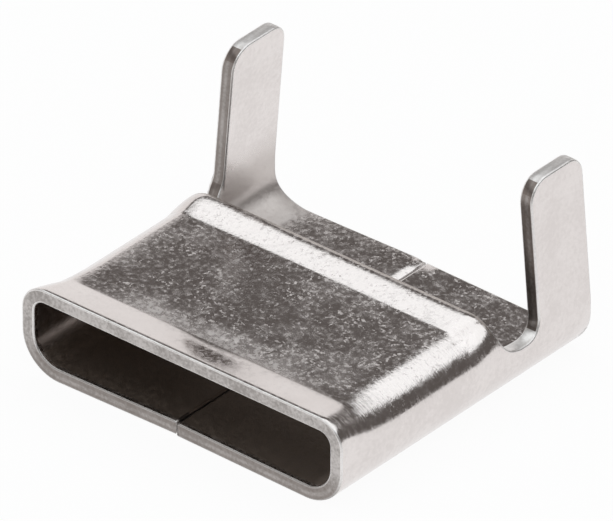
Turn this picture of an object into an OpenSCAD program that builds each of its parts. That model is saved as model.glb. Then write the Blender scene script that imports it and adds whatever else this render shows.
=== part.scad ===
// Strapping buckle folded from one strip of stainless sheet.
// A flat tube holds the strap, and two ears behind it are beaten down over the strap's tail.
// Front rim towards -Y, ears towards +Y, underside on z = 0, origin below the middle.

/* [Strap] */
// Width of the steel strap that the buckle takes
strap_w = 19; // [12:0.5:32]
// Side play left for the strap between the side walls
strap_play = 0.8; // [0.3:0.1:2]
// Clear height of the slot under the flat roof panel
slot_h = 3.25; // [2.8:0.05:5]

/* [Sheet] */
// Thickness of the sheet
sheet_t = 0.8; // [0.5:0.05:1.2]
// Outside radius of the bends between the side walls and the roof
roof_bend_r = 1.85; // [1.3:0.05:1.9]
// Outside radius of the bends between the side walls and the floor
floor_bend_r = 2.4; // [1.6:0.1:2.6]

/* [Floor] */
// Length of the buckle from the front rim to the rear edge
floor_len = 19.9; // [18.5:0.1:26]
// Gap of the butt seam between the two halves of the floor
seam_gap = 0.08; // [0.04:0.02:0.3]
// Sideways place of the seam, measured from the middle
seam_x = -0.3; // [-2:0.1:2]
// Height that the left half of the floor springs up at the seam
left_rise = 0.18; // [0:0.02:0.4]
// Height that the right half of the floor springs up at the seam
right_rise = 0.1; // [0:0.02:0.4]

/* [Roof] */
// Length of the roof from the front rim to its rear edge
roof_len = 12.7; // [10:0.1:14]
// Length of the front lip that leads the strap in
lip_len = 2.2; // [1:0.1:4]
// Height that the lip is flared up at the front rim
lip_rise = 0.35; // [0.1:0.05:0.6]
// Length of the rear band that stands up behind the flat panel
band_len = 2; // [1.6:0.1:3]
// Slope of the rear band, in degrees
band_slope = 12; // [4:1:16]
// Radius over which the rear band rolls down to the rear edge
roll_r = 2; // [1.2:0.1:4]

/* [Ears] */
// Length of an ear along the buckle
ear_w = 4.15; // [3:0.05:5]
// Height of the ears above the underside
ear_h = 11.5; // [8:0.1:16]
// Inward lean of the ears, in degrees
ear_lean = 5; // [1:0.5:10]
// Radius of the slight bend that gives the ears their lean
lean_bend_r = 6; // [3:0.5:12]
// Corner radius at the front of an ear's top
ear_front_r = 1.3; // [0.4:0.1:2]
// Corner radius at the rear of an ear's top
ear_rear_r = 0.7; // [0.3:0.1:1.5]

/* [Notches] */
// Depth of a notch's bottom below the lower edge of the roof's bends
notch_drop = 0.05; // [0.05:0.05:0.6]
// Corner radius at the bottom of a notch, on the roof's side
notch_front_r = 1.4; // [0.5:0.1:1.6]
// Corner radius at the bottom of a notch, on the ear's side
notch_rear_r = 1; // [0.4:0.1:1.4]

/* [Hidden] */
$fn = 96;

// Overall section of the tube
slot_w = strap_w + strap_play;
body_w = slot_w + 2 * sheet_t;
panel_top = slot_h + 2 * sheet_t;
half_w = body_w / 2;
front_y = -floor_len / 2;
rear_y = floor_len / 2;

// Stations along the buckle
lip_y = front_y + lip_len;
band_y = front_y + roof_len - band_len;
roof_y = front_y + roof_len;
ear_y = rear_y - ear_w;
notch_w = ear_y - roof_y;
notch_z = panel_top - roof_bend_r - notch_drop;

// Slope of the lip, in degrees
lip_slope = atan(lip_rise / lip_len);

// Corner radii, held to what the notch and the ear can take
notch_fr = min(notch_front_r, notch_w / 2);
notch_rr = min(notch_rear_r, notch_w / 2);
ear_fr = min(ear_front_r, ear_w / 2);
ear_rr = min(ear_rear_r, ear_w / 2);
floor_br = min(floor_bend_r, notch_z - sheet_t / 2);

// Straight steps in each quarter turn of an outline, and in the ears' slight bend
arc_steps = 14;
lean_steps = 3;

// Hair's breadth by which shapes stand past the faces that trim them
spare = 0.01;

// Reach of cutting blocks, well past everything they cut
far = 2 * (body_w + floor_len + ear_h);

// Stands a section drawn in x and z upright and draws it out along +Y, from y = 0
module along_y(length)
    rotate([90, 0, 0])
        translate([0, 0, -length])
            linear_extrude(length)
                children();

// Draws a side view, given in y and z, out across the whole width
module across_x(width)
    rotate([90, 0, 90])
        translate([0, 0, -width / 2])
            linear_extrude(width)
                children();

// Points of an arc of an outline, from one angle to another
function arc(centre, radius, from, to, steps = arc_steps) = [
    for (i = [0 : steps])
        let (a = from + (to - from) * i / steps)
            centre + radius * [cos(a), sin(a)]
];

// Sector of a bend in the sheet around the origin, between two angles under 180 degrees apart
module bend(outer_r, from, to) {
    reach = 4 * outer_r;
    middle = (from + to) / 2;
    intersection() {
        difference() {
            circle(outer_r);
            circle(outer_r - sheet_t);
        }
        polygon([
            [0, 0],
            reach * [cos(from), sin(from)],
            reach * [cos(middle), sin(middle)],
            reach * [cos(to), sin(to)]
        ]);
    }
}

// Right half of the lower section: floor to the seam, bend, and wall up to the notch's bottom
module lower_half(rise, seam) {
    floor_w = half_w - floor_br;
    edge = seam + seam_gap / 2;
    polygon([[floor_w, 0], [floor_w, sheet_t], [edge, rise + sheet_t], [edge, rise]]);
    translate([floor_w, floor_br])
        bend(floor_br, -90, 0);
    translate([half_w - sheet_t, floor_br])
        square([sheet_t, notch_z - floor_br]);
}

// Floor, lower bends and low walls, which run the whole length
module trough()
    translate([0, front_y, 0])
        along_y(floor_len) {
            lower_half(right_rise, seam_x);
            mirror([1, 0])
                lower_half(left_rise, -seam_x);
        }

// Section of a solid bar with round shoulders, a hair wider than the body and hung from z = 0
module shoulders(inset, over) {
    width = body_w - 2 * inset + 2 * over;
    radius = roof_bend_r - inset;
    for (side = [-1, 1])
        translate([side * (width / 2 - radius), -radius - inset])
            circle(radius);
    translate([-width / 2, -panel_top])
        square([width, panel_top - inset - radius]);
    translate([-width / 2 + radius, -panel_top])
        square([width - 2 * radius, panel_top - inset]);
}

// Run of that bar, sloped up towards the rear about its top line at y and trimmed to the body's width
module run(y, slope, inset, over)
    intersection() {
        translate([0, y, panel_top])
            rotate([slope, 0, 0])
                translate([0, -floor_len, 0])
                    along_y(2 * floor_len)
                        shoulders(inset, over);
        translate([inset - half_w, front_y - inset, floor_br - inset])
            cube([body_w - 2 * inset, roof_len + notch_fr + 2 * inset, far]);
    }

// Front lip, flat panel and rear band, each taking over where it stands highest
module runs(inset) {
    run(lip_y, -lip_slope, inset, 2 * spare);
    run(band_y, 0, inset, spare);
    run(band_y, band_slope, inset, 2 * spare);
}

// Side view of what the roll takes off the top of the rear band
module roll_off() {
    reach = roll_r * sin(band_slope);
    start = band_y + band_len - reach - roll_r / 4;
    top_z = panel_top + (start - band_y) * tan(band_slope);
    difference() {
        translate([start, top_z - roll_r])
            square([far, far]);
        translate([start + reach, top_z - roll_r * cos(band_slope) + spare])
            circle(roll_r);
    }
}

// Side view of what the notches take off behind the roof, down to their front corner
module notch_off()
    polygon(concat(
        arc([roof_y + notch_fr, notch_z + notch_fr], notch_fr, 180, 270),
        [[ear_y, notch_z], [ear_y, far], [roof_y, far]]
    ));

// Tube above the floor's bends, from the front rim back into the notches
module roof()
    difference() {
        runs(0);
        runs(sheet_t);
        across_x(far)
            roll_off();
        across_x(far)
            notch_off();
    }

// Section of a right-hand ear and the wall below it, bent to its inward lean above the notch
module ear_section() {
    centre = [half_w - lean_bend_r, notch_z];
    rise = 2 * ear_h * [-sin(ear_lean), cos(ear_lean)];
    outer = arc(centre, lean_bend_r, 0, ear_lean, lean_steps);
    inner = arc(centre, lean_bend_r - sheet_t, ear_lean, 0, lean_steps);
    polygon(concat(
        [[half_w, floor_br]],
        outer,
        [outer[lean_steps] + rise, inner[0] + rise],
        inner,
        [[half_w - sheet_t, floor_br]]
    ));
}

// Side view of an ear, from the notch's rear corner round its top to the rear edge
module ear_side()
    polygon(concat(
        [[ear_y - notch_rr, 0], [rear_y, 0]],
        arc([rear_y - ear_rr, ear_h - ear_rr], ear_rr, 0, 90),
        arc([ear_y + ear_fr, ear_h - ear_fr], ear_fr, 90, 180),
        arc([ear_y - notch_rr, notch_z + notch_rr], notch_rr, 0, -90)
    ));

// Both ears, standing on the walls of the trough
module ears()
    for (side = [0, 1])
        mirror([side, 0, 0])
            intersection() {
                translate([0, roof_y, 0])
                    along_y(rear_y - roof_y)
                        ear_section();
                across_x(far)
                    ear_side();
            }

module buckle()
    color([0.78, 0.77, 0.75]) {
        trough();
        roof();
        ears();
    }

buckle();
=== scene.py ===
# %% [markdown]
# A strapping buckle is one strip of stainless sheet, blanked and folded. A flat tube takes the strap, and
# two ears behind it are beaten down over the strap's tail. The CAD solid gives its size and place. This
# lesson folds the sheet again as a fine mesh, so that its bends, creases and cut edges can catch the light
# as tumbled steel does.

# %% Load the frame
import math

import bmesh
import bpy
from mathutils import Matrix, Vector


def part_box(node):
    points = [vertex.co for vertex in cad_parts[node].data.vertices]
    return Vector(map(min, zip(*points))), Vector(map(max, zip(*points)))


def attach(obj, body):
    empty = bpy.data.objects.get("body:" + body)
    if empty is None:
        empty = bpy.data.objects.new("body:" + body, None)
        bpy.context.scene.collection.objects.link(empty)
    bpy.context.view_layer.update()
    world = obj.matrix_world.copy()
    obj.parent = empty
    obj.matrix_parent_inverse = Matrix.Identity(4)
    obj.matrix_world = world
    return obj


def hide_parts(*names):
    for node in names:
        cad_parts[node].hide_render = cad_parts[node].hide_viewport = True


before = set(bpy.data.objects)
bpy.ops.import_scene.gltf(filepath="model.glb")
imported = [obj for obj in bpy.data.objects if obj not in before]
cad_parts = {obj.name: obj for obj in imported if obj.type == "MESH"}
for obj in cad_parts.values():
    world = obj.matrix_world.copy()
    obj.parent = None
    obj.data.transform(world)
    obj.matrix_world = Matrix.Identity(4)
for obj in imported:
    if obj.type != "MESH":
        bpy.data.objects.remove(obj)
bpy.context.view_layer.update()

MM = 0.001
low, high = (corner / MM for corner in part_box("buckle"))
print("CAD box in mm:", [round(c, 2) for c in low], [round(c, 2) for c in high])

# %% [markdown]
# The modelling is done in millimetres, in the CAD frame, and scaled to metres at the end. The overall sizes
# come from the CAD node's box, and the sheet's own sizes are named here once.

# %% Name the sheet's sizes
half_w = high.x
front_y = low.y
rear_y = high.y
ear_top = high.z

sheet_t = 0.8
panel_top = 4.85
roof_bend_r = 1.85
floor_bend_r = 2.4
wall_top = panel_top - roof_bend_r

roof_len = 12.7
ear_w = 4.15
roof_y = front_y + roof_len
ear_y = rear_y - ear_w
notch_z = 2.95
notch_front_r = 1.7
notch_rear_r = 1.0
ear_front_r = 1.3
ear_rear_r = 1.0
ear_lean = math.radians(5)
lean_bend_r = 6

seam_gap = 0.08
seam_x = -0.3
left_rise = 0.18
right_rise = 0.1
print("slot inside:", round(2 * (half_w - sheet_t), 2), "by", round(panel_top - 2 * sheet_t, 2), "mm")

# %% [markdown]
# The side wall and its ear are one flat outline before folding. A single vertex is pushed along straight
# stretches and spun round each corner, so every radius is a true arc, and the closed loop is filled with
# one face. The wall runs a little past the roof's rear edge, because the notch's front corner curves up
# into the roof's bend.

# %% Draw the side wall and ear
def pushed(bm, vert, offset):
    """Pushes a new vertex out of one, along a straight edge."""
    new = bmesh.ops.extrude_vert_indiv(bm, verts=[vert])["verts"][0]
    bmesh.ops.translate(bm, vec=offset, verts=[new])
    return new


def swept(bm, vert, offset_to_centre, degrees, steps):
    """Spins a vertex round a corner in the plane of the wall."""
    out = bmesh.ops.spin(
        bm, geom=[vert], cent=vert.co + Vector(offset_to_centre), axis=(1, 0, 0), dvec=(0, 0, 0),
        angle=math.radians(degrees), steps=steps, use_merge=False, use_duplicate=False,
    )
    return next(g for g in out["geom_last"] if isinstance(g, bmesh.types.BMVert))


fillet_steps = 6
notch_steps = 9
ear_front_steps = 10
ear_rear_steps = 8

bm = bmesh.new()
fillet_up = notch_z + notch_front_r - wall_top
fillet_turn = math.degrees(math.acos(fillet_up / notch_front_r))
wall_end = roof_y + notch_front_r * (1 - math.sin(math.radians(fillet_turn)))

start = bm.verts.new((half_w, front_y, wall_top))
at = pushed(bm, start, (0, wall_end - front_y, 0))
at = swept(bm, at, (0, roof_y + notch_front_r - wall_end, fillet_up), fillet_turn, fillet_steps)
at = pushed(bm, at, (0, ear_y - notch_rear_r - at.co.y, 0))
at = swept(bm, at, (0, 0, notch_rear_r), 90, notch_steps)
at = pushed(bm, at, (0, 0, ear_top - ear_front_r - at.co.z))
at = swept(bm, at, (0, ear_front_r, 0), -90, ear_front_steps)
at = pushed(bm, at, (0, rear_y - ear_rear_r - at.co.y, 0))
at = swept(bm, at, (0, 0, -ear_rear_r), -90, ear_rear_steps)
at = pushed(bm, at, (0, 0, floor_bend_r - at.co.z))
at = pushed(bm, at, (0, front_y - rear_y, 0))
bm.edges.new((at, start))
bmesh.ops.contextual_create(bm, geom=bm.edges[:])
print("wall outline:", len(bm.verts), "points,", len(bm.faces), "face")

# %% [markdown]
# The outline is cut crosswise into narrow strips, so that the folded sheet can later take the lip, the
# raised band and the ear's slight bend. Three close cuts mark each of the roof's two creases. Cuts behind
# the roof fall where arcs begin and end, which keeps every cell clean.

# %% Cut the wall into strips
near = 1e-3


def cut(bm, faces, point, normal):
    """Cuts the given faces along a plane."""
    edges = {e for f in faces for e in f.edges}
    verts = {v for f in faces for v in f.verts}
    bmesh.ops.bisect_plane(
        bm, geom=[*faces, *edges, *verts], dist=near / 10, plane_co=point, plane_no=normal,
    )


strip_w = 0.36
lip_len = 2.2
band_len = 1.95
band_y = roof_y - band_len
crease_half = 0.1
notch_shares = (0.38, 0.72)
ear_strip = 1.0
strips = round((wall_end - front_y) / strip_w)
stations = [front_y + (wall_end - front_y) * i / strips for i in range(1, strips + 1)]
stations += [roof_y + notch_front_r, ear_y - notch_rear_r, ear_y, ear_y + ear_front_r]
stations += [y + step for y in (front_y + lip_len, band_y) for step in (-crease_half, 0, crease_half)]
stations += [ear_y - notch_rear_r * share for share in notch_shares]
stations += [rear_y - ear_rear_r - ear_strip, rear_y - ear_rear_r]
for y in stations:
    cut(bm, bm.faces[:], (0, y, 0), (0, 1, 0))

foot_rises = (0, 0.35, 0.7, notch_rear_r)
ear_step = 0.6
ear_rows = 10
ear_cuts = [notch_z + rise for rise in foot_rises]
ear_cuts += [notch_z + notch_rear_r + ear_step * i for i in range(1, ear_rows + 1)]
for z in ear_cuts:
    ear_faces = [f for f in bm.faces if f.calc_center_median().y > ear_y]
    cut(bm, ear_faces, (0, 0, z), (0, 0, 1))
print("wall in strips:", len(bm.faces), "faces")

# %% [markdown]
# Folding is spinning: the wall's lower edge turns a quarter round the floor's bend line and is then drawn
# across to the seam, and its upper edge turns the other way into the roof. Both bends are arcs about lines
# along the buckle. The floor is cut again close to the seam, where it will turn down, and once near the
# bend, where a hazy patch ends.

# %% Fold the bends, the floor and the roof
def edges_on(bm, test):
    """Edges whose two ends both pass a test."""
    return [e for e in bm.edges if all(test(v.co) for v in e.verts)]


def folded(bm, edges, centre, degrees, steps):
    """Turns edges round a bend line along Y and returns the far edges."""
    verts = {v for e in edges for v in e.verts}
    out = bmesh.ops.spin(
        bm, geom=[*edges, *verts], cent=centre, axis=(0, 1, 0), dvec=(0, 0, 0),
        angle=math.radians(degrees), steps=steps, use_merge=False, use_duplicate=False,
    )
    return [g for g in out["geom_last"] if isinstance(g, bmesh.types.BMEdge)]


def drawn(bm, edges, offset):
    """Draws edges out straight and returns the new faces."""
    out = bmesh.ops.extrude_edge_only(bm, edges=edges)["geom"]
    bmesh.ops.translate(bm, vec=offset, verts=[g for g in out if isinstance(g, bmesh.types.BMVert)])
    return [g for g in out if isinstance(g, bmesh.types.BMFace)]


bend_steps = 14
low_edges = edges_on(bm, lambda c: abs(c.z - floor_bend_r) < near)
top_edges = edges_on(bm, lambda c: abs(c.z - wall_top) < near and c.y < wall_end + near)
floor_edges = folded(bm, low_edges, (half_w - floor_bend_r, 0, floor_bend_r), 90, bend_steps)
roof_edges = folded(bm, top_edges, (half_w - roof_bend_r, 0, wall_top), -90, bend_steps)
drawn(bm, floor_edges, (-(half_w - floor_bend_r - seam_gap / 2), 0, 0))
drawn(bm, roof_edges, (-(half_w - roof_bend_r), 0, 0))

roof_cuts = 14
for i in range(1, roof_cuts):
    roof_faces = [f for f in bm.faces if f.calc_center_median().z > panel_top - near]
    cut(bm, roof_faces, ((half_w - roof_bend_r) * i / roof_cuts, 0, 0), (1, 0, 0))

floor_cuts = (0.2, 0.4, 0.6, 0.9, 6.8)
for x in floor_cuts:
    floor_faces = [f for f in bm.faces if f.calc_center_median().z < near]
    cut(bm, floor_faces, (x, 0, 0), (1, 0, 0))
print("right half folded:", len(bm.faces), "faces")

# %% [markdown]
# The left half is the right half mirrored. The roof's halves join along the middle. The floor's halves stop
# half a seam's gap from it, so they stay apart, as the two ends of the strip do on the real buckle.

# %% Mirror the left half
everything = [*bm.verts, *bm.edges, *bm.faces]
bmesh.ops.mirror(bm, geom=everything, matrix=Matrix.Identity(4), merge_dist=near / 10, axis="X")
bmesh.ops.remove_doubles(bm, verts=bm.verts[:], dist=near / 10)
bmesh.ops.recalc_face_normals(bm, faces=bm.faces[:])
middle_faces = [f for f in bm.faces if abs(f.calc_center_median().x) < half_w / 2]
roof_face = max(middle_faces, key=lambda f: f.calc_center_median().z)
if roof_face.normal.z < 0:
    bmesh.ops.reverse_faces(bm, faces=bm.faces[:])
print("whole sheet:", len(bm.faces), "faces")

# %% [markdown]
# Now the flat folds get their true form. Each rule below moves the points of the plain folds by a smooth
# amount, which is how a press works too: it strains sheet that is already bent. First comes the roof's line
# along the buckle. It rises to the front lip, lies flat, breaks upwards at a crisp crease into the rear
# band and rolls over at its crest. The lip also has one shallow dent, which shows as a dark smear in its
# pale reflection.

# %% Give the roof its line
lip_rise = 0.37
lip_slope = lip_rise / lip_len
crisp_len = 4
soften_len = 6
lip_soft = 0.05
lip_softer = 0.14
band_slope = math.tan(math.radians(12))
band_soft = 0.05
crest_len = 0.3
crest_y = roof_y - crest_len
crest_soft = 0.14
roll_slope = math.tan(math.radians(20))
exp_limit = 60


def smooth(share):
    """Eases from 0 to 1 as the share goes from 0 to 1."""
    share = max(0, min(1, share))
    return share * share * (3 - 2 * share)


def ramp(distance, soft):
    """Nothing before zero and the distance after it, with a soft corner between."""
    return soft * math.log1p(math.exp(max(-exp_limit, min(exp_limit, distance / soft))))


def roof_rise(y, x=0.0):
    """Height of the roof above its flat panel. The lip's crease is crisp at its left end."""
    soft = lip_soft + lip_softer * smooth((x + half_w - crisp_len) / soften_len)
    lip = lip_slope * ramp(front_y + lip_len - y, soft)
    band = band_slope * ramp(y - band_y, band_soft)
    roll = (band_slope + roll_slope) * ramp(y - crest_y, crest_soft)
    return lip + band - roll


dent_at = Vector((0.35, front_y + 1.7))
dent_along = Vector((3.7, -0.5)).normalized()
dent_len = 1.6
dent_w = 0.5
dent_depth = 0.045


def lip_dent(x, y):
    """Depth of a shallow dent that lies aslant across the lip."""
    off = Vector((x, y)) - dent_at
    along = off.dot(dent_along) / dent_len
    beside = off.cross(dent_along) / dent_w
    return dent_depth * math.exp(-along * along - beside * beside)


print("roof rises at the rim, panel, crest and rear edge:",
      [round(roof_rise(y), 3) for y in (front_y, 0, crest_y, roof_y)])

# %% [markdown]
# The roof's side bends are tight at the rim, where the lip was pressed, and rounder behind it. So the
# bend's radius changes along the buckle, and a point of the plain bend is moved to the same angle on the
# new arc. The left bend starts tighter and runs flatter, and the roof sags a little towards it between the
# lip and the band.

# %% Round the roof's bends and cut them back to the notch
rim_bend_r = 1.5
mid_bend_r = 2.1
settle_len = 4.5


def bend_radius(y):
    """Outside radius of the roof's bends along the buckle."""
    radius = rim_bend_r + (mid_bend_r - rim_bend_r) * smooth((y - front_y) / settle_len)
    return radius + (roof_bend_r - radius) * smooth((y - roof_y) / (wall_end - roof_y))


left_tight = 0.2
change_len = 3.0
loosen_len = 1.0
tight_power = 1.5


def tightness(x, y):
    """How much tighter the left bend starts, behind the lip and in front of the rear edge."""
    loosened = smooth((y - roof_y + loosen_len) / loosen_len)
    between = smooth((y - front_y) / change_len) * (1 - loosened)
    return left_tight * between if x < 0 else 0


def rear_edge(z):
    """How far back the roof and its bend reach at a height, along the notch's front corner."""
    drop = max(0, notch_z + notch_front_r - z)
    return roof_y + notch_front_r - math.sqrt(max(0, notch_front_r**2 - drop**2))


sag_depth = 0.16
pull_len = 1.0


def left_sag(x, y):
    """How far the roof sags towards its left bend, halfway along."""
    along = smooth((y - front_y) / change_len) * (1 - smooth((y - band_y) / (roof_y - band_y)))
    return sag_depth * along * (x / half_w) ** 2 if x < 0 else 0


def roof_point(x, y, z):
    """Where a point of the plain roof, its bend or the wall's upper line goes."""
    pull_y = roof_y - pull_len
    y = min(y, pull_y) + max(0, y - pull_y) * (rear_edge(z) - pull_y) / (wall_end - pull_y)
    tight = tightness(x, y)
    radius = bend_radius(y) * (1 - tight)
    power = 1 + tight_power * tight
    flat = half_w - roof_bend_r
    up = max(0, (z - wall_top) / roof_bend_r) ** power
    out = max(0, (abs(x) - flat) / roof_bend_r) ** power
    inner = min(abs(x), flat) * (half_w - radius) / flat
    z = panel_top - radius + radius * up
    lift = 1 - smooth((y - band_y) / (wall_end - band_y)) * (1 - up)
    z += lift * roof_rise(min(y, roof_y), x) - lip_dent(x, y) - left_sag(x, y)
    return math.copysign(inner + radius * out, x), y, z


print("bend radius at the rim and behind it:", rim_bend_r, mid_bend_r, "mm")

# %% [markdown]
# The floor springs up a little to its seam, where the left half turns down again. Each ear bends inwards
# above the notch, and is drawn up a little as it bends. The left ear has a wider bend below it, so it
# stands further out.

# %% Form every point of the sheet
left_out = 0.6
ears_up = 0.27
left_turn_down = 0.18
turn_down_w = 0.7
turn_down_fade = 3.0


def floor_point(x, y, z):
    """Where a point of the plain floor goes."""
    reach = 1 - abs(x) / (half_w - floor_bend_r)
    z += reach * (right_rise if x > 0 else left_rise)
    if x < 0:
        behind = smooth((y - roof_y + turn_down_fade) / turn_down_fade)
        z -= behind * left_turn_down * max(0, 1 - abs(x) / turn_down_w) ** 2
    return x + reach * seam_x, y, z


def ear_point(x, y, z):
    """Where a point of a plain upright ear goes."""
    along = z - notch_z
    turn = min(along / lean_bend_r, ear_lean)
    rest = along - turn * lean_bend_r
    inward = lean_bend_r * (1 - math.cos(turn)) + rest * math.sin(turn)
    top = notch_z + lean_bend_r * math.sin(turn) + rest * math.cos(turn)
    return x - math.copysign(inward, x), y, top


def ear_shift(x, y, z):
    """How much higher the ears stand, and how much further out the left one does."""
    back = smooth((y - wall_end) / (ear_y - wall_end))
    round_bend = smooth((abs(x) - half_w + floor_bend_r) / floor_bend_r)
    height = max(0, z - notch_z) / (ear_top - notch_z)
    return Vector((-left_out * back * round_bend if x < 0 else 0, 0, ears_up * back * height))


def formed(co):
    """Where a point of the plain folds goes on the finished sheet."""
    x, y, z = co
    shift = ear_shift(x, y, z)
    if z < floor_bend_r and abs(x) < half_w - floor_bend_r + near:
        return Vector(floor_point(x, y, z))
    if y > ear_y - notch_rear_r - near and z > notch_z:
        return Vector(ear_point(x, y, z)) + shift
    if y < wall_end + near and z > wall_top - near:
        return Vector(roof_point(x, y, z))
    return Vector((x, y, z)) + shift


for vert in bm.verts:
    vert.co = formed(vert.co)
print("highest point:", round(max(v.co.z for v in bm.verts), 2), "mm")

# %% [markdown]
# The sheet gets its thickness last, inwards from the outer skin. The faces that join the two skins are the
# cut edges, and they get a material of their own. Layers for the finish's numbers are added first, because
# adding one later would make the sets of vertices useless.

# %% Thicken the sheet
SHEET, CUT_EDGE, RUBBED = 0, 1, 2
dull_and_shaded, bent, beaten, hazy, across = (
    bm.verts.layers.float.new(name) for name in ("dull_and_shaded", "bent", "beaten", "hazy", "across")
)
sheared_and_shade = bm.faces.layers.float.new("sheared_and_shade")
outer_verts = set(bm.verts)
bmesh.ops.solidify(bm, geom=bm.faces[:], thickness=sheet_t)
inner_verts = set(bm.verts) - outer_verts

for face in bm.faces:
    depths = {v in outer_verts for v in face.verts}
    face.material_index = CUT_EDGE if len(depths) == 2 else SHEET
cut_count = sum(f.material_index == CUT_EDGE for f in bm.faces)
print("thick sheet:", len(bm.faces), "faces,", cut_count, "on cut edges")

# %% [markdown]
# Five numbers on the vertices tell the materials how the sheet was worked and where shade is painted. The
# first is 1 inside the tube, where the finish is duller and the darker colour is painted shade. It fades out
# at the tube's rear. It comes back a little on the roof's crest, as painted shade where the roof rolls over,
# and in the bend at the foot of the left ear. "bent" grows over the roof's bends, where the die dragged.
# "beaten" says how hard the tumbler struck: flat tops more than upright walls and the lip. "hazy" blurs the
# left ear's inner bend and the roof behind the lip's crease. "across" runs from 0 on the outer skin to 1 on
# the inner one, through each cut edge.

# %% Mark how each part of the sheet was worked and where shade is painted
upright_from = 0.8
upright_range = 0.18
wall_beaten = 0.1
lip_beaten = 0.1
lip_fade = 1.0
lip_haze = 0.08
crease_haze = 0.9
lip_haze_len = 2.2
lip_haze_ends = 5
crest_shade = 0.6
bm.normal_update()

for vert in bm.verts:
    x, y, z = vert.co
    past_lip = y - front_y - lip_len
    on_top = z > panel_top - sheet_t / 2
    sideways = max(abs(f.normal.x) for f in vert.link_faces if f.material_index == SHEET)
    vert[beaten] = 1 - (1 - wall_beaten) * smooth((sideways - upright_from) / upright_range)
    vert[beaten] *= lip_beaten + (1 - lip_beaten) * smooth(past_lip / lip_fade)
    # Painted shade on the roof's crest, where the roof rolls over.
    if on_top and crest_y < y < roof_y + sheet_t / 2:
        vert[dull_and_shaded] = crest_shade
    if on_top and y < roof_y and abs(x) < half_w - mid_bend_r:
        inside = smooth((half_w - mid_bend_r - abs(x)) / lip_haze_ends)
        strength = lip_haze if y < front_y + lip_len else crease_haze
        vert[hazy] = strength * inside * (1 - smooth(past_lip / lip_haze_len))
    if y < roof_y and z > wall_top:
        vert[bent] = smooth((abs(x) - half_w + mid_bend_r) / mid_bend_r)
print("hazy points on the roof:", sum(v[hazy] > 0.1 for v in bm.verts))

# %% [markdown]
# The inner skin is marked after that. The tube's inside is duller and gets painted shade, with less painted
# shade on its left wall, where light falls in. The bend below the left ear is hazy and a little darker.

# %% Mark the inner skin and paint the tube's shade
rim_fade = 0.05
rear_fade = 2.2
left_wall_x = sheet_t + 0.4 - half_w
left_wall_shade = 0.6
haze_start = half_w - 3.4
haze_end = half_w - 1.4
haze_top = 5.5
left_foot_dull = 0.3

for vert in inner_verts:
    x, y, z = vert.co
    vert[across] = 1.0
    # Painted shade inside the tube: it starts just behind the front rim and fades out towards the tube's
    # rear.
    to_rear = roof_y + rear_fade / 2 - y
    if to_rear > 0:
        vert[dull_and_shaded] = smooth((y - front_y) / rim_fade) * smooth(to_rear / rear_fade)
    # Less painted shade on the left inner wall, where light falls in.
    if y < roof_y and x < left_wall_x:
        vert[dull_and_shaded] *= left_wall_shade
    if y > roof_y and x < 0:
        outwards = smooth((-x - haze_start) / (haze_end - haze_start))
        vert[hazy] = outwards * (1 - smooth((z - notch_z) / (haze_top - notch_z)))
        vert[dull_and_shaded] = max(vert[dull_and_shaded], left_foot_dull * vert[hazy])
print("unpolished points:", sum(v[dull_and_shaded] > 0.5 for v in bm.verts))

# %% [markdown]
# Blanking leaves a rolled-over side and a sharp side. At the seam the left half shows its rolled-over side
# upwards, so that one edge gets a rounder bevel. Every other cut edge gets a plain one, which is rubbed
# bright in the tumbler and draws the thin pale lines round the rim and the ears.

# %% Break the cut edges
roll_over = 0.1
edge_break = 0.1
squarely = 0.9


def rim_edges(bm):
    """Edges between a skin and a cut edge."""
    return [e for e in bm.edges if len({f.material_index for f in e.link_faces}) == 2]


def is_left_seam(edge):
    """The upper edge of the floor's left half, along the seam."""
    faces_right = any(f.normal.x > squarely for f in edge.link_faces)
    near_seam = all(v in inner_verts and abs(v.co.x - seam_x) < sheet_t for v in edge.verts)
    return faces_right and near_seam and all(v.co.y > roof_y - turn_down_fade for v in edge.verts)


left_seam = [e for e in rim_edges(bm) if is_left_seam(e)]
rolled = bmesh.ops.bevel(
    bm, geom=left_seam, offset=roll_over, offset_type="OFFSET", segments=4, profile=0.5,
    affect="EDGES", material=-1, clamp_overlap=False,
)["faces"]
for face in rolled:
    face.material_index = SHEET
rolled = set(rolled)
sharp = [e for e in rim_edges(bm) if not rolled.intersection(e.link_faces)]
rubbed = bmesh.ops.bevel(
    bm, geom=sharp, offset=edge_break, offset_type="OFFSET", segments=2, profile=0.5,
    affect="EDGES", material=-1, clamp_overlap=False,
)["faces"]
for face in rubbed:
    face.material_index = RUBBED
print("broken edges:", len(sharp), "plain,", len(rolled), "rolled faces;", len(bm.faces), "faces in all")

# %% [markdown]
# Not every edge is as bright as the next. A number on the faces keeps the torn face of a cut dull on the
# ears' front edges. The same number paints shade: a dark patch on the ears' rounded front corners and a dark
# roll-off on the roof's rear edge. Along the front rim the edges are duller and darker towards the bottom.
# The ears' tops and the bottom of the right notch were rubbed. Inside the tube the seam's edges are as dull
# as the floor, apart from a short bright tick at the front.

# %% Dull the sheared edges and paint shade on the ears' corners and the roof's rear edge
ear_edge_dull = 0.75
corner_shade = 1.6
corner_from, corner_to = -0.9, -0.4
front_facing = -0.6
floor_rim_dull = 0.7
floor_lip_dull = 0.6
low_fade = 1.4
rear_edge_shade = 0.9
tip_dull = 0.3
tip_h = 0.5
bowl_h = 0.4
tick_len = 1.2
ear_tip = max(v.co.z for v in bm.verts)

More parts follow.
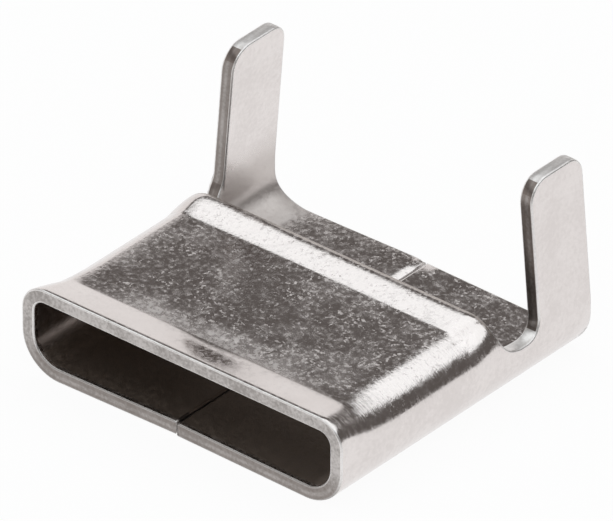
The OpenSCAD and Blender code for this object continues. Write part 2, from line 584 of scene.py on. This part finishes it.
for face in bm.faces:
    face.smooth = True
    x, y, z = face.calc_center_median()
    on_cut = face.material_index == CUT_EDGE
    on_rubbed = face.material_index == RUBBED
    in_bowl = x > 0 and roof_y + sheet_t < y < ear_y and abs(z - notch_z) < bowl_h
    on_seam = abs(x - seam_x) < sheet_t and sheet_t / 2 < z < 2 * sheet_t
    # Edges along the front rim are made darker towards the bottom.
    lowness = 1 - smooth((z - sheet_t) / low_fade)
    if on_cut and z > ear_tip - tip_h and face.normal.z > squarely:
        face.material_index = RUBBED
        face[sheared_and_shade] = tip_dull
    elif on_cut and in_bowl:
        face.material_index = RUBBED
    # Painted shade: a dark patch on the ears' rounded front corners.
    elif on_cut and y > roof_y and z > notch_z and corner_from < face.normal.y < corner_to:
        face[sheared_and_shade] = corner_shade
    elif on_cut and face.normal.y < front_facing:
        face[sheared_and_shade] = ear_edge_dull if y > roof_y else floor_rim_dull * lowness
    elif on_rubbed and y < front_y + edge_break:
        face[sheared_and_shade] = floor_lip_dull * lowness
    elif on_rubbed and on_seam:
        if front_y + tick_len < y < roof_y:
            face.material_index = SHEET
    # Painted shade on the roof's rear edge, where it rolls over.
    elif on_rubbed and z > panel_top - sheet_t and abs(y - roof_y) < sheet_t:
        face[sheared_and_shade] = rear_edge_shade
print("dull edge faces:", sum(f[sheared_and_shade] > 0 for f in bm.faces))

# %% [markdown]
# The mesh is scaled to metres and becomes one object at the origin. Weighted normals keep the broad faces
# flat beside their narrow bevels. The object takes the place of the CAD node and rides on the part's one
# body.

# %% Make the buckle object
bmesh.ops.scale(bm, vec=(MM, MM, MM), verts=bm.verts[:])
mesh = bpy.data.meshes.new("folded_sheet")
bm.to_mesh(mesh)
bm.free()
buckle = bpy.data.objects.new("folded_sheet", mesh)
bpy.context.scene.collection.objects.link(buckle)
weighted = buckle.modifiers.new("even_normals", "WEIGHTED_NORMAL")
weighted.keep_sharp = True
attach(buckle, "root")
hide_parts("buckle")
print("buckle:", len(mesh.vertices), "vertices")

# %% [markdown]
# Node trees are wordy, so a few helpers add one node each and return its output. Most of them take a socket
# or a plain number alike.

# %% Make helpers for shader nodes
def new_group(name, inputs, outputs):
    """Starts a shader node group with named sockets."""
    group = bpy.data.node_groups.new(name, "ShaderNodeTree")
    for socket, kind in inputs:
        group.interface.new_socket(socket, in_out="INPUT", socket_type=kind)
    for socket, kind in outputs:
        group.interface.new_socket(socket, in_out="OUTPUT", socket_type=kind)
    return group, group.nodes.new("NodeGroupInput"), group.nodes.new("NodeGroupOutput")


def joined(tree, node, **inputs):
    """Sets a node's inputs, by socket name, to numbers or links."""
    for name, value in inputs.items():
        socket = node.inputs[name.replace("_", " ")]
        if isinstance(value, bpy.types.NodeSocket):
            tree.links.new(value, socket)
        else:
            socket.default_value = value
    return node


def math_node(tree, operation, first, second):
    """Adds a Math node between two sockets or numbers."""
    node = tree.nodes.new("ShaderNodeMath")
    node.operation = operation
    for socket, value in zip(node.inputs, (first, second)):
        if isinstance(value, (int, float)):
            socket.default_value = value
        else:
            tree.links.new(value, socket)
    return node.outputs[0]


def product(tree, first, second):
    """Multiplies two sockets or numbers."""
    return math_node(tree, "MULTIPLY", first, second)


def total(tree, first, second):
    """Adds two sockets or numbers."""
    return math_node(tree, "ADD", first, second)


def noise(tree, vector, scale, detail, roughness=0.5):
    """Adds a noise texture and returns its value."""
    node = tree.nodes.new("ShaderNodeTexNoise")
    joined(tree, node, Vector=vector, Scale=scale, Detail=detail, Roughness=roughness)
    return node.outputs["Fac"]


def ranged(tree, value, span, to=(0.0, 1.0)):
    """Maps a value smoothly from one range to another."""
    node = tree.nodes.new("ShaderNodeMapRange")
    node.interpolation_type = "SMOOTHSTEP"
    joined(tree, node, Value=value, From_Min=span[0], From_Max=span[1], To_Min=to[0], To_Max=to[1])
    return node.outputs["Result"]


def stretched(tree, vector, scale):
    """Scales a position differently along each axis."""
    node = tree.nodes.new("ShaderNodeMapping")
    joined(tree, node, Vector=vector, Scale=scale)
    return node.outputs["Vector"]


helpers = (new_group, joined, math_node, product, total, noise, ranged, stretched)
print("helpers:", [helper.__name__ for helper in helpers])

# %% [markdown]
# Tumbled stainless is a mirror broken up by thousands of tiny dents. Its colour hardly changes. What shows
# is how the dents tilt and blur the reflection, so the finish is mostly bump and haze. A node group draws,
# from a position in millimetres, wide clouds, a fine mottle, small pits, long flecks in three directions
# and hairs that the die dragged across the bends. A hazy fleck gathers light from all round, so it shows
# bright where the sheet mirrors the dark room.

# %% Build the tumbled finish as a node group
finish, finish_in, finish_out = new_group(
    "tumbled_finish",
    [("Vector", "NodeSocketVector"), ("Grain", "NodeSocketFloat"), ("Drag", "NodeSocketFloat"),
     ("Beaten", "NodeSocketFloat")],
    [("Height", "NodeSocketFloat"), ("Tone", "NodeSocketFloat"), ("Haze", "NodeSocketFloat")],
)
place = finish_in.outputs["Vector"]
beating = finish_in.outputs["Beaten"]
clouds = noise(finish, place, scale=0.5, detail=2.0)
mottle = noise(finish, place, scale=finish_in.outputs["Grain"], detail=3.0, roughness=0.6)
grit = noise(finish, place, scale=4.2, detail=2.0, roughness=0.55)
patches = ranged(finish, noise(finish, place, scale=0.7, detail=3.0), (0.4, 0.62), to=(0.25, 1.0))

fleck_shape = (1.9, 4.4, 3.4)
flecks = 0.0
for turn, shift in ((25, 0.0), (-40, 7.0), (80, 13.0)):
    turned = finish.nodes.new("ShaderNodeMapping")
    tilt = (0.5, 0.3, math.radians(turn))
    joined(finish, turned, Vector=place, Location=(shift, shift, shift), Rotation=tilt)
    drawn_out = stretched(finish, turned.outputs["Vector"], fleck_shape)
    long_spots = noise(finish, drawn_out, scale=1.0, detail=2.0)
    flecks = math_node(finish, "MAXIMUM", flecks, ranged(finish, long_spots, (0.65, 0.77)))
flecks = product(finish, product(finish, flecks, patches), beating)

hair_shape = (0.9, 10.0, 0.9)
hairs = noise(finish, stretched(finish, place, hair_shape), scale=1.0, detail=2.0)
hairs = product(finish, ranged(finish, hairs, (0.4, 0.7)), finish_in.outputs["Drag"])

fleck_depth = 0.4
dents = math_node(finish, "SUBTRACT", product(finish, mottle, beating), product(finish, flecks, fleck_depth))
finish.links.new(total(finish, dents, hairs), finish_out.inputs["Height"])

cloud_share = 0.4
mottle_share = 0.6
tone = total(finish, product(finish, clouds, cloud_share), product(finish, mottle, mottle_share))
finish.links.new(tone, finish_out.inputs["Tone"])

hair_haze = 0.4
haze = ranged(finish, mottle, (0.4, 0.7), to=(0.0, 0.4))
haze = total(finish, haze, product(finish, hairs, hair_haze))
pits = product(finish, ranged(finish, grit, (0.56, 0.7), to=(0.0, 0.7)), beating)
haze = total(finish, haze, product(finish, pits, patches))
veil = product(finish, ranged(finish, clouds, (0.44, 0.66), to=(0.0, 0.2)), beating)
haze = total(finish, haze, veil)
finish.links.new(math_node(finish, "MAXIMUM", haze, flecks), finish_out.inputs["Haze"])
print("group:", finish.name, "with", len(finish.nodes), "nodes")

# %% [markdown]
# A material reads the numbers that the mesh keeps and mixes two tones of metal by them, and a dark colour
# where the metal is dull and where shade is painted. On a sheared edge a burnished stripe runs through the
# middle of the thickness, where the punch slid before the metal tore.

# %% Read the mesh's numbers in a material
stripe_share = 0.45


def mm_coordinates(tree):
    """Object coordinates scaled from metres to millimetres."""
    coords = tree.nodes.new("ShaderNodeTexCoord")
    return stretched(tree, coords.outputs["Object"], (1 / MM, 1 / MM, 1 / MM))


def mesh_number(tree, name):
    """Reads a number that the mesh keeps on its vertices or faces."""
    node = tree.nodes.new("ShaderNodeAttribute")
    node.attribute_name = name
    return node.outputs["Fac"]


def mixed(tree, factor, first, second):
    """Mixes two colours, each a socket or a plain colour."""
    node = tree.nodes.new("ShaderNodeMix")
    node.data_type = "RGBA"
    tree.links.new(factor, node.inputs[0])
    for socket, value in ((node.inputs[6], first), (node.inputs[7], second)):
        if isinstance(value, bpy.types.NodeSocket):
            tree.links.new(value, socket)
        else:
            socket.default_value = (*value, 1)
    return node.outputs[2]


def shear_zones(tree):
    """A factor that is lower in the burnished stripe through the middle of a sheared edge."""
    through = mesh_number(tree, "across")
    rising = ranged(tree, through, (0.25, 0.4))
    falling = ranged(tree, through, (0.5, 0.65), to=(1.0, 0.0))
    stripe = product(tree, rising, falling)
    return math_node(tree, "SUBTRACT", 1.0, product(tree, stripe, stripe_share))


print("numbers on the mesh:", [a.name for a in mesh.attributes if a.data_type == "FLOAT"])

# %% [markdown]
# The sheet, its cut edges and their rubbed corners share the finish with different values. All are plain
# metal. Object coordinates in millimetres keep the grain at its real size, and the mesh's numbers set where
# the metal stays dull and where shade is painted.

# %% Make the three steel materials
hazy_rough = 0.18


def steel(name, grain, drag, bump_mm, tones, rough, haze_rough, dull_and_shade_colour, dull_rough):
    """Makes a metal whose tone, roughness and dents come from the tumbled finish, darkened where it is dull
    and where shade is painted.
    """
    material = bpy.data.materials.new(name)
    material.use_nodes = True
    tree = material.node_tree
    shader = tree.nodes["Principled BSDF"]
    shader.inputs["Metallic"].default_value = 1.0
    worn = tree.nodes.new("ShaderNodeGroup")
    worn.node_tree = finish
    dragged = product(tree, mesh_number(tree, "bent"), drag)
    struck = mesh_number(tree, "beaten")
    joined(tree, worn, Vector=mm_coordinates(tree), Grain=grain, Drag=dragged, Beaten=struck)
    # Dull torn edges and painted shade both pull the colour towards the dark colour.
    dull_and_shade_mix = product(tree, mesh_number(tree, "sheared_and_shade"), shear_zones(tree))
    dull_and_shade_mix = math_node(tree, "MAXIMUM", dull_and_shade_mix, mesh_number(tree, "dull_and_shaded"))
    tone = ranged(tree, worn.outputs["Tone"], (0.35, 0.65))
    colour = mixed(tree, dull_and_shade_mix, mixed(tree, tone, *tones), dull_and_shade_colour)
    tree.links.new(colour, shader.inputs["Base Color"])
    blur = total(tree, rough, product(tree, worn.outputs["Haze"], haze_rough))
    blur = total(tree, blur, product(tree, dull_and_shade_mix, dull_rough))
    blur = total(tree, blur, product(tree, mesh_number(tree, "hazy"), hazy_rough))
    tree.links.new(blur, shader.inputs["Roughness"])
    bump = tree.nodes.new("ShaderNodeBump")
    joined(tree, bump, Strength=1.0, Distance=bump_mm * MM, Height=worn.outputs["Height"])
    tree.links.new(bump.outputs["Normal"], shader.inputs["Normal"])
    return material


# Each dark colour below serves dull torn edges and painted shade; on the sheet it is painted shade inside
# the tube and on the roof's crest, and the darker bend at the left ear's foot.
sheet_steel = steel(
    "tumbled_sheet", grain=3.8, drag=0.3, bump_mm=0.01,
    tones=((0.69, 0.645, 0.63), (0.77, 0.725, 0.71)), rough=0.1, haze_rough=0.34,
    dull_and_shade_colour=(0.29, 0.238, 0.2), dull_rough=0.35,
)
cut_steel = steel(
    "blanked_edge", grain=6.0, drag=0.0, bump_mm=0.035,
    tones=((0.31, 0.287, 0.273), (0.57, 0.54, 0.525)), rough=0.34, haze_rough=0.2,
    dull_and_shade_colour=(0.2, 0.17, 0.155), dull_rough=0.0,
)
rubbed_steel = steel(
    "rubbed_edge", grain=8.0, drag=0.0, bump_mm=0.01,
    tones=((0.70, 0.675, 0.66), (0.86, 0.84, 0.83)), rough=0.38, haze_rough=0.15,
    dull_and_shade_colour=(0.16, 0.14, 0.13), dull_rough=0.0,
)
for material in (sheet_steel, cut_steel, rubbed_steel):
    mesh.materials.append(material)
print("materials:", [m.name for m in mesh.materials])

# %% [markdown]
# Polished metal shows the room, so the studio matters more than the lamps. Here a pale screen stands low
# behind the table on the left, the rest of the room is dark, and a wide soft light hangs overhead, reaching
# lower on the right. The sky is drawn as a ramp of grey by height, once with the screen and once without,
# and the two are mixed from left to right.

# %% Draw the sky by height
world = bpy.data.worlds.new("studio")
bpy.context.scene.world = world
world.use_nodes = True
sky = world.node_tree
sky.nodes.clear()
ray = sky.nodes.new("ShaderNodeTexCoord")
split = sky.nodes.new("ShaderNodeSeparateXYZ")
sky.links.new(ray.outputs["Generated"], split.inputs["Vector"])
height = sky.nodes.new("ShaderNodeMapRange")
height.inputs["From Min"].default_value = -1.0
sky.links.new(split.outputs["Z"], height.inputs["Value"])


def sky_ramp(stops):
    """A ramp of colour by height, from stops of degrees above the horizon and colours."""
    node = sky.nodes.new("ShaderNodeValToRGB")
    node.color_ramp.interpolation = "EASE"
    while len(node.color_ramp.elements) < len(stops):
        node.color_ramp.elements.new(0.5)
    for element, (degrees, colour) in zip(node.color_ramp.elements, stops):
        element.position = 0.5 + math.sin(math.radians(degrees)) / 2
        element.color = (*colour, 1)
    sky.links.new(height.outputs["Result"], node.inputs["Fac"])
    return node.outputs["Color"]


screen = (0.66, 0.65, 0.645)
dark = (0.09, 0.082, 0.078)
bright = (0.9, 0.93, 0.94)
top = (0.42, 0.41, 0.405)
overhead = [(70, bright), (80, top)]
with_screen = sky_ramp([(0, screen), (23, screen), (27, dark), (41, dark), (44, bright)] + overhead)
without_screen = sky_ramp([(0, dark), (33, dark), (36, bright)] + overhead)
side = ranged(sky, split.outputs["X"], (-0.1, 0.35))
print("sky ramps:", sum(n.type == "VALTORGB" for n in sky.nodes))

# %% [markdown]
# A Light Path node tells the camera's own rays from all others. The camera sees a plain white ground, and
# everything else sees the studio.

# %% Light the studio
room_strength = 1.45
room = sky.nodes.new("ShaderNodeBackground")
room.inputs["Strength"].default_value = room_strength
sky.links.new(mixed(sky, side, with_screen, without_screen), room.inputs["Color"])
white = sky.nodes.new("ShaderNodeBackground")
white.inputs["Color"].default_value = (1, 1, 1, 1)
path = sky.nodes.new("ShaderNodeLightPath")
choice = sky.nodes.new("ShaderNodeMixShader")
sky.links.new(path.outputs["Is Camera Ray"], choice.inputs["Fac"])
sky.links.new(room.outputs["Background"], choice.inputs[1])
sky.links.new(white.outputs["Background"], choice.inputs[2])
out = sky.nodes.new("ShaderNodeOutputWorld")
sky.links.new(choice.outputs["Shader"], out.inputs["Surface"])
print("world:", world.name)

# %% [markdown]
# The table is a wide pale plane. To the camera and to reflections it glows a little, so that it reads as
# white, while its diffuse part still takes the buckle's soft shadow.

# %% Lay the table
table_half = 2.0
table_grey = 0.9
glow_share = 0.94

table_mesh = bpy.data.meshes.new("table")
table_bm = bmesh.new()
bmesh.ops.create_grid(table_bm, x_segments=1, y_segments=1, size=table_half)
table_bm.to_mesh(table_mesh)
table_bm.free()
table = bpy.data.objects.new("table", table_mesh)
bpy.context.scene.collection.objects.link(table)

table_paint = bpy.data.materials.new("table_white")
table_paint.use_nodes = True
tree = table_paint.node_tree
tree.nodes.clear()
diffuse = tree.nodes.new("ShaderNodeBsdfDiffuse")
diffuse.inputs["Color"].default_value = (table_grey, table_grey, table_grey, 1)
glow = tree.nodes.new("ShaderNodeEmission")
seen = tree.nodes.new("ShaderNodeLightPath")
shown = math_node(tree, "MAXIMUM", seen.outputs["Is Camera Ray"], seen.outputs["Is Glossy Ray"])
shown = math_node(tree, "MAXIMUM", shown, seen.outputs["Is Transmission Ray"])
blend = tree.nodes.new("ShaderNodeMixShader")
tree.links.new(product(tree, shown, glow_share), blend.inputs["Fac"])
tree.links.new(diffuse.outputs["BSDF"], blend.inputs[1])
tree.links.new(glow.outputs["Emission"], blend.inputs[2])
surface = tree.nodes.new("ShaderNodeOutputMaterial")
tree.links.new(blend.outputs["Shader"], surface.inputs["Surface"])
table_mesh.materials.append(table_paint)
print("table:", table.name)

# %% [markdown]
# The photograph was taken from far off with a long lens, from the front right and above. The camera looks
# along that line at a point a little above the roof, and a millimetre of the buckle takes as many pixels as
# in the picture.

# %% Set the camera
image_w = 613
azimuth, elevation = math.radians(40.16), math.radians(32.67)
distance = 1.0
pixels_per_mm = 19.585
target = Vector((0.779, -0.95, 6.781)) * MM

camera_data = bpy.data.cameras.new("camera")
camera_data.sensor_fit = "HORIZONTAL"
camera_data.sensor_width = 36
camera_data.lens = pixels_per_mm / MM * distance / image_w * camera_data.sensor_width
camera = bpy.data.objects.new("camera", camera_data)
bpy.context.scene.collection.objects.link(camera)
back = Vector((
    math.sin(azimuth) * math.cos(elevation), -math.cos(azimuth) * math.cos(elevation), math.sin(elevation),
))
camera.location = target + back * distance
camera.rotation_euler = back.to_track_quat("Z", "Y").to_euler()
bpy.context.scene.camera = camera
bpy.context.scene.view_settings.view_transform = "Standard"
print("lens:", round(camera_data.lens), "mm")
